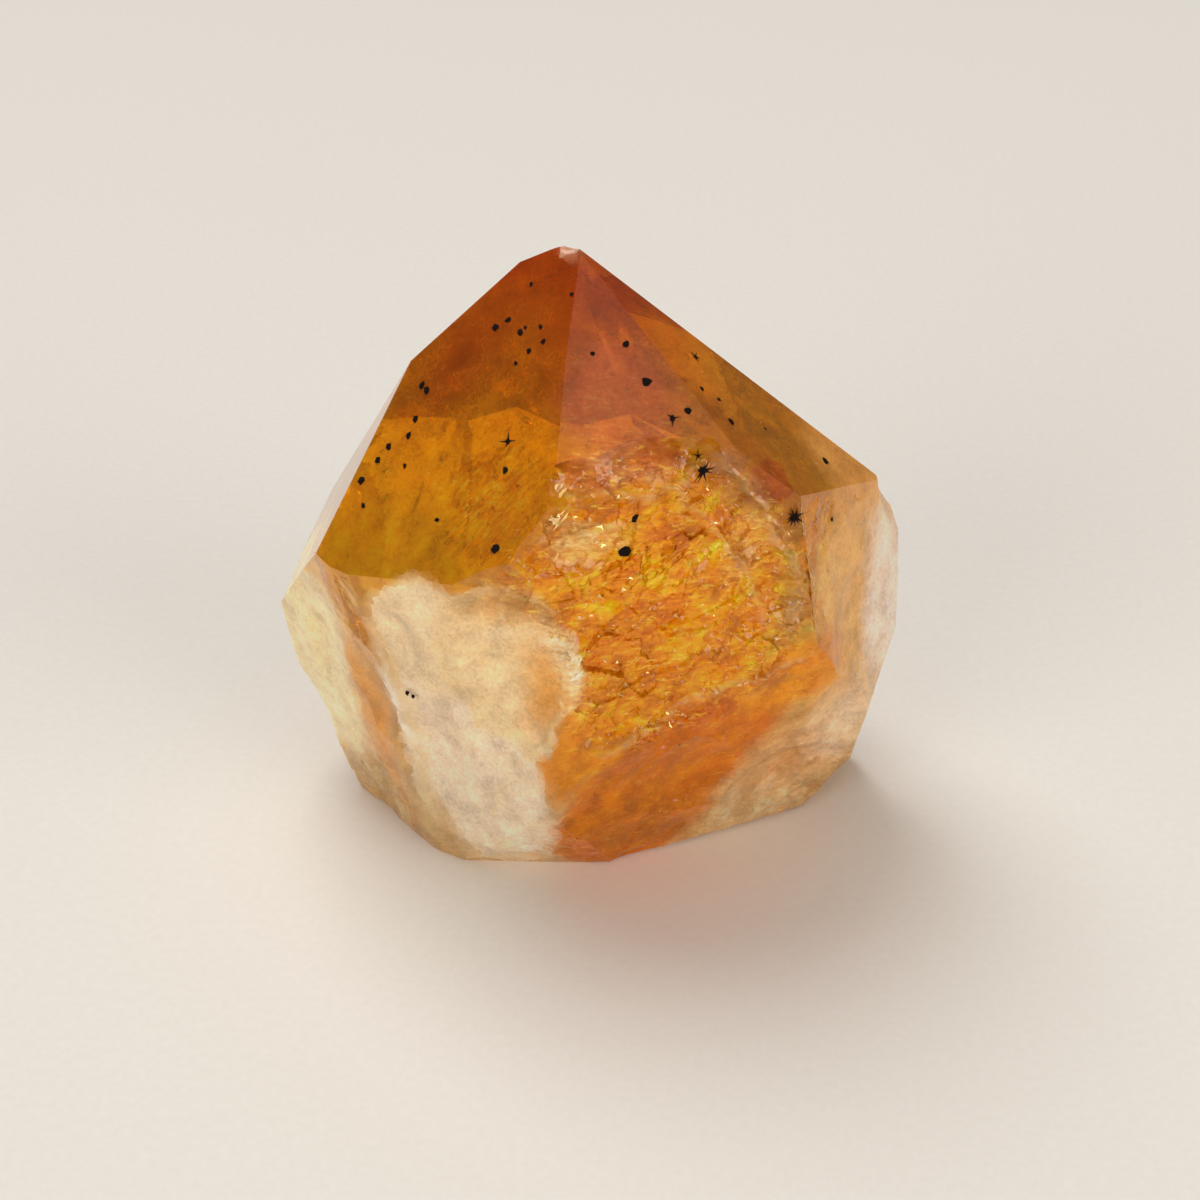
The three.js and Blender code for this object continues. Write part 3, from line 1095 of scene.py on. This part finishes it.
@dataclass
class Veils:
    """Healed cracks: thin shards strewn in the quartz under part of its surface.

    Geometry Nodes strew them: points on a copy of the surface, sunk to random depths, take one
    shard each, which is turned and sized at random and then made real.
    """

    source: bpy.types.Mesh
    name: str
    patch: Patch
    finish: "PlainFinish"
    per_square_mm: float
    depths: tuple[float, float]
    sizes: tuple[float, float]
    lean: Triple
    spread: float
    seed: int
    slim: float = 0.6
    corners: int = 7
    carrier_edge: float = 1.5

    def build(self) -> bpy.types.Object:
        """Strews the shards.

        Returns:
            One mesh of all the shards, riding on the crystal's body.
        """
        carrier = new_object(self.name + "_carrier", self._carrier())
        shard = new_object(self.name + "_shard", self._shard())
        material = self.finish.build()
        tree, sockets = self._tree(shard, material)
        strew = carrier.modifiers.new("strew", "NODES")
        strew.node_group = tree
        values = {
            "Density": self.per_square_mm / MM**2,
            "Shallow": self.depths[0] * MM,
            "Deep": self.depths[1] * MM,
            "Small": self.sizes[0],
            "Large": self.sizes[1],
            "Seed": self.seed,
        }
        for name, value in values.items():
            strew[sockets[name]] = value
        graph = bpy.context.evaluated_depsgraph_get()
        mesh = bpy.data.meshes.new_from_object(carrier.evaluated_get(graph))
        mesh.name = self.name
        for thing in (carrier, shard):
            bpy.data.objects.remove(thing)
        veils = new_object(self.name, mesh)
        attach(veils, BODY)
        LOG.info("%s: %d faces", self.name, len(mesh.polygons))
        return veils

    def _carrier(self) -> bpy.types.Mesh:
        """Copies the part of the surface that lies in the patch."""
        shape = bmesh.new()
        shape.from_mesh(self.source)
        bmesh.ops.triangulate(shape, faces=shape.faces)
        net = TriangleNet.of(shape)
        shape.free()
        while net.split(lambda middles: np.full(len(middles), self.carrier_edge * MM)):
            pass
        middles = net.points[net.faces].mean(axis=1)
        net.faces = net.faces[self.patch.share(middles) > 0.02]
        return net.mesh(self.name + "_carrier")

    def _shard(self) -> bpy.types.Mesh:
        """Makes one thin, closed, slightly dished shard about a millimetre across."""
        shape = bmesh.new()
        rim = []
        for k in range(self.corners):
            angle = math.tau * k / self.corners
            reach = 0.36 + 0.2 * math.sin(2.3 * k + self.seed)
            dish = 0.10 * math.cos(2 * angle)
            across = self.slim * reach * math.sin(angle)
            rim.append(shape.verts.new((reach * math.cos(angle), across, dish * self.slim)))
        thick = 0.03 * self.slim
        for height in (thick, -thick):
            middle = shape.verts.new((0, 0, height - 0.08 * self.slim))
            for k in range(self.corners):
                shape.faces.new((rim[k], rim[(k + 1) % self.corners], middle))
        bmesh.ops.recalc_face_normals(shape, faces=shape.faces)
        bmesh.ops.scale(shape, vec=(MM, MM, MM), verts=shape.verts)
        mesh = bpy.data.meshes.new(self.name + "_shard")
        shape.to_mesh(mesh)
        shape.free()
        return mesh

    def _tree(
        self, shard: bpy.types.Object, material: bpy.types.Material
    ) -> tuple[bpy.types.NodeTree, dict[str, str]]:
        """Builds the node tree that strews the shards.

        Args:
            shard: the object that each point takes a copy of.
            material: what the shards are dressed in.

        Returns:
            The tree, and the identifier of each of its named inputs.
        """
        tree = bpy.data.node_groups.new(self.name, "GeometryNodeTree")
        face = tree.interface
        face.new_socket("Geometry", in_out="INPUT", socket_type="NodeSocketGeometry")
        face.new_socket("Geometry", in_out="OUTPUT", socket_type="NodeSocketGeometry")
        sockets = {}
        for name in ("Density", "Shallow", "Deep", "Small", "Large"):
            sockets[name] = face.new_socket(name, in_out="INPUT", socket_type="NodeSocketFloat")
        sockets["Seed"] = face.new_socket("Seed", in_out="INPUT", socket_type="NodeSocketInt")
        given = add_node(tree, "NodeGroupInput").outputs
        points = add_node(
            tree,
            "GeometryNodeDistributePointsOnFaces",
            inputs={"Mesh": given["Geometry"], "Density": given["Density"], "Seed": given["Seed"]},
        )
        sink = add_node(
            tree,
            "FunctionNodeRandomValue",
            {"data_type": "FLOAT"},
            {2: given["Shallow"], 3: given["Deep"], 8: 1},
        )
        back = add_node(
            tree,
            "ShaderNodeMath",
            {"operation": "MULTIPLY"},
            {0: sink.outputs[1], 1: -1.0},
        )
        inward = add_node(
            tree,
            "ShaderNodeVectorMath",
            {"operation": "SCALE"},
            {0: points.outputs["Normal"], "Scale": back.outputs[0]},
        )
        sunk = add_node(
            tree,
            "GeometryNodeSetPosition",
            inputs={"Geometry": points.outputs["Points"], "Offset": inward.outputs[0]},
        )
        spread = math.radians(self.spread)
        lean = [math.radians(a) for a in self.lean]
        turn = add_node(
            tree,
            "FunctionNodeRandomValue",
            {"data_type": "FLOAT_VECTOR"},
            {0: tuple(a - spread for a in lean), 1: tuple(a + spread for a in lean), 8: 2},
        )
        size = add_node(
            tree,
            "FunctionNodeRandomValue",
            {"data_type": "FLOAT"},
            {2: given["Small"], 3: given["Large"], 8: 3},
        )
        shape = add_node(tree, "GeometryNodeObjectInfo", inputs={"Object": shard})
        copies = add_node(
            tree,
            "GeometryNodeInstanceOnPoints",
            inputs={
                "Points": sunk.outputs[0],
                "Instance": shape.outputs["Geometry"],
                "Rotation": turn.outputs[0],
                "Scale": size.outputs[1],
            },
        )
        real = add_node(
            tree, "GeometryNodeRealizeInstances", inputs={"Geometry": copies.outputs[0]}
        )
        dressed = add_node(
            tree,
            "GeometryNodeSetMaterial",
            inputs={"Geometry": real.outputs[0], "Material": material},
        )
        add_node(tree, "NodeGroupOutput", inputs={"Geometry": dressed.outputs[0]})
        return tree, {name: socket.identifier for name, socket in sockets.items()}


# ---- The studio ---------------------------------------------------------------------------


@dataclass
class Studio:
    """A pale floor, soft light and the camera."""

    aim: Triple = (1.15, -8.0, 27.0)
    away: float = 226.0
    above: float = 31.0
    lens_mm: float = 67.2
    floor_size: float = 30000.0
    world: str = "E9E4DC"
    world_strength: float = 0.16

    def build(self) -> None:
        """Makes the floor, the lights, the world and the camera."""
        self._floor()
        self._world()
        self._light("window", (-130.0, 17.0), 2500.0, 1500.0, 26.0, "FFFEFC")
        self._light("door", (-38.0, 17.0), 2500.0, 1500.0, 23.0, "FFFEFC")
        self._light("front", (-72.0, 46.0), 2500.0, 1950.0, 8.0, "FFF0E4")
        self._light("top", (100.0, 72.0), 2500.0, 2500.0, 13.0, "FFFFFF")
        self._sun("sky", (125.0, 58.0), 1.65, 40.0, "FFFFFF")
        self._camera()

    def _floor(self) -> None:
        """Lays the backdrop that the crystal stands on."""
        shape = bmesh.new()
        bmesh.ops.create_grid(shape, x_segments=1, y_segments=1, size=self.floor_size * MM / 2)
        mesh = bpy.data.meshes.new("backdrop")
        shape.to_mesh(mesh)
        shape.free()
        mesh.materials.append(BACKDROP.build())
        new_object("backdrop", mesh)

    def _world(self) -> None:
        """Fills the room with pale light."""
        world = bpy.data.worlds.new("room")
        world.use_nodes = True
        tree = world.node_tree
        tree.nodes.clear()
        glow = add_node(
            tree,
            "ShaderNodeBackground",
            inputs={"Color": linear(self.world), "Strength": self.world_strength},
        )
        add_node(tree, "ShaderNodeOutputWorld", inputs={0: glow.outputs[0]})
        bpy.context.scene.world = world

    def _light(
        self, name: str, way: tuple[float, float], away: float, size: float, watts: float, hue: str
    ) -> None:
        """Hangs one square soft light that looks at the crystal.

        Args:
            name: the light's name.
            way: compass angle and height in degrees, seen from the crystal.
            away: distance from the crystal.
            size: the side of the light.
            watts: its power.
            hue: its sRGB hex colour.
        """
        lamp = bpy.data.lights.new(name, "AREA")
        lamp.shape, lamp.size, lamp.energy = "SQUARE", size * MM, watts
        lamp.color = linear(hue)[:3]
        thing = bpy.data.objects.new(name, lamp)
        aim = Vector(self.aim) * MM
        out = compass(*way)
        thing.matrix_world = Matrix.Translation(aim + out * away * MM) @ (
            out.to_track_quat("Z", "Y").to_matrix().to_4x4()
        )
        bpy.context.scene.collection.objects.link(thing)

    def _sun(self, name: str, way: tuple[float, float], power: float, spread: float, hue: str) -> None:
        """Lights the whole floor evenly from one side.

        Args:
            name: the light's name.
            way: compass angle and height in degrees, seen from the crystal.
            power: watts on each square metre.
            spread: how wide the light is, in degrees.
            hue: its sRGB hex colour.
        """
        lamp = bpy.data.lights.new(name, "SUN")
        lamp.energy, lamp.angle, lamp.color = power, math.radians(spread), linear(hue)[:3]
        thing = bpy.data.objects.new(name, lamp)
        thing.matrix_world = compass(*way).to_track_quat("Z", "Y").to_matrix().to_4x4()
        bpy.context.scene.collection.objects.link(thing)

    def _camera(self) -> None:
        """Sets up the camera, a little above the crystal's shoulders."""
        lens = bpy.data.cameras.new("camera")
        lens.lens, lens.sensor_width = self.lens_mm, 36.0
        lens.clip_start = 0.01
        thing = bpy.data.objects.new("camera", lens)
        aim = Vector(self.aim) * MM
        out = compass(-90.0, self.above)
        thing.matrix_world = Matrix.Translation(aim + out * self.away * MM) @ (
            out.to_track_quat("Z", "Y").to_matrix().to_4x4()
        )
        bpy.context.scene.collection.objects.link(thing)
        bpy.context.scene.camera = thing


SPECKS: dict[Face, tuple[Speck, ...]] = {
    Face.FRONT_LEFT: (
        Speck(-5.5, 9.5, 0.8),
        Speck(-4.5, 8.5, 0.7),
        Speck(-2.5, 9.2, 0.9),
        Speck(-2.2, 8.6, 0.5),
        Speck(-0.5, 8.0, 0.5),
        Speck(0.4, 9.2, 0.6),
        Speck(-0.8, 10.5, 0.6),
        Speck(-1.6, 12.0, 0.5),
        Speck(-11.4, 17.3, 0.9),
        Speck(-10.6, 17.6, 0.8),
        Speck(-10.5, 20.5, 0.7),
        Speck(-10.6, 22.2, 0.8),
        Speck(-12.4, 24.0, 0.8),
        Speck(-13.0, 25.6, 0.7),
        Speck(-9.6, 25.0, 0.6),
        Speck(-14.0, 28.0, 0.9),
        Speck(-12.6, 30.2, 0.6),
        Speck(1.0, 19.0, 1.3, 4),
        Speck(2.0, 21.6, 0.7),
        Speck(-3.5, 4.6, 0.5),
        Speck(1.4, 4.2, 0.5),
        Speck(-3.4, 28.4, 0.6),
        Speck(4.4, 28.6, 0.9),
    ),
    Face.FRONT_CENTRE: (
        Speck(5.0, 13.0, 1.0),
        Speck(3.4, 9.4, 0.7),
        Speck(0.2, 10.0, 0.5),
        Speck(7.0, 16.6, 1.2, 3),
        Speck(8.5, 16.0, 0.7),
        Speck(9.0, 20.3, 1.0, 5),
    ),
    Face.FRONT_RIGHT: (
        Speck(1.0, 15.0, 1.2, 5),
        Speck(-3.0, 17.0, 0.6),
        Speck(-2.0, 19.0, 0.5),
        Speck(-3.6, 21.0, 0.7),
        Speck(0.6, 24.6, 0.4),
        Speck(5.0, 32.0, 0.9),
    ),
    Face.FRONT: (
        Speck(8.0, 18.0, 1.7, 9),
        Speck(17.0, 24.0, 1.6, 11),
        Speck(0.4, 25.2, 1.6),
        Speck(1.5, 22.0, 1.1),
    ),
    Face.RIGHT_FLANK: (Speck(8.5, 29.0, 0.5),),
    Face.MILKY: (Speck(-10.0, 40.4, 0.6), Speck(-9.3, 40.6, 0.6)),
}


def sealed_veils(source: bpy.types.Mesh) -> list[Veils]:
    """Lists the strewn cracks: gold in the front, pale in the fractures and the milky root.

    Args:
        source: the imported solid's mesh.

    Returns:
        One entry for each family of cracks.
    """
    low_left = Patch((-9, -21, 41), (12, 9, 9), soft=0.3)
    fan = Patch((-7.5, -20, 43), (7, 9, 6.5), soft=0.5)
    tip = Patch((2, -14, 49), (19, 12, 9), soft=0.3)
    return [
        Veils(source, "gold_veils", FRONT, GOLD_VEIL, 1.0, (0.05, 0.6), (0.3, 1.4), (88, 20, 0), 26, 3),
        Veils(source, "pale_veils", FRONT, PALE_VEIL, 0.3, (0.1, 0.6), (0.3, 1.3), (88, 10, 0), 26, 8),
        Veils(
            source, "feather_veils", low_left, GOLD_VEIL, 0.5, (0.5, 2), (0.5, 2.2), (60, 30, 50), 30, 4
        ),
        Veils(
            source, "needle_fan", fan, NEEDLE, 2.6, (0.25, 1.6), (1.2, 4.0), (50, -50, 0), 8, 6, 0.12, 5
        ),
        Veils(
            source, "tip_needles", tip, NEEDLE, 0.3, (0.4, 1.6), (0.5, 1.5), (50, -80, 0), 40, 7, 0.2, 5
        ),
    ]


def main(frame: dict) -> None:
    """Builds the crystal, what is sealed in it, and the studio around it.
    """
    logging.basicConfig(level=logging.INFO, format="%(name)s: %(message)s")
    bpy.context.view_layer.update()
    solid = frame["nodes"][NODE]
    Crystal(solid).build()
    Specks(solid.data, grains=SPECKS).build()
    for veils in sealed_veils(solid.data):
        veils.build()
    Studio().build()
    scene = bpy.context.scene
    scene.view_settings.view_transform = "Standard"


if __name__ == "__main__":
    main(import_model())
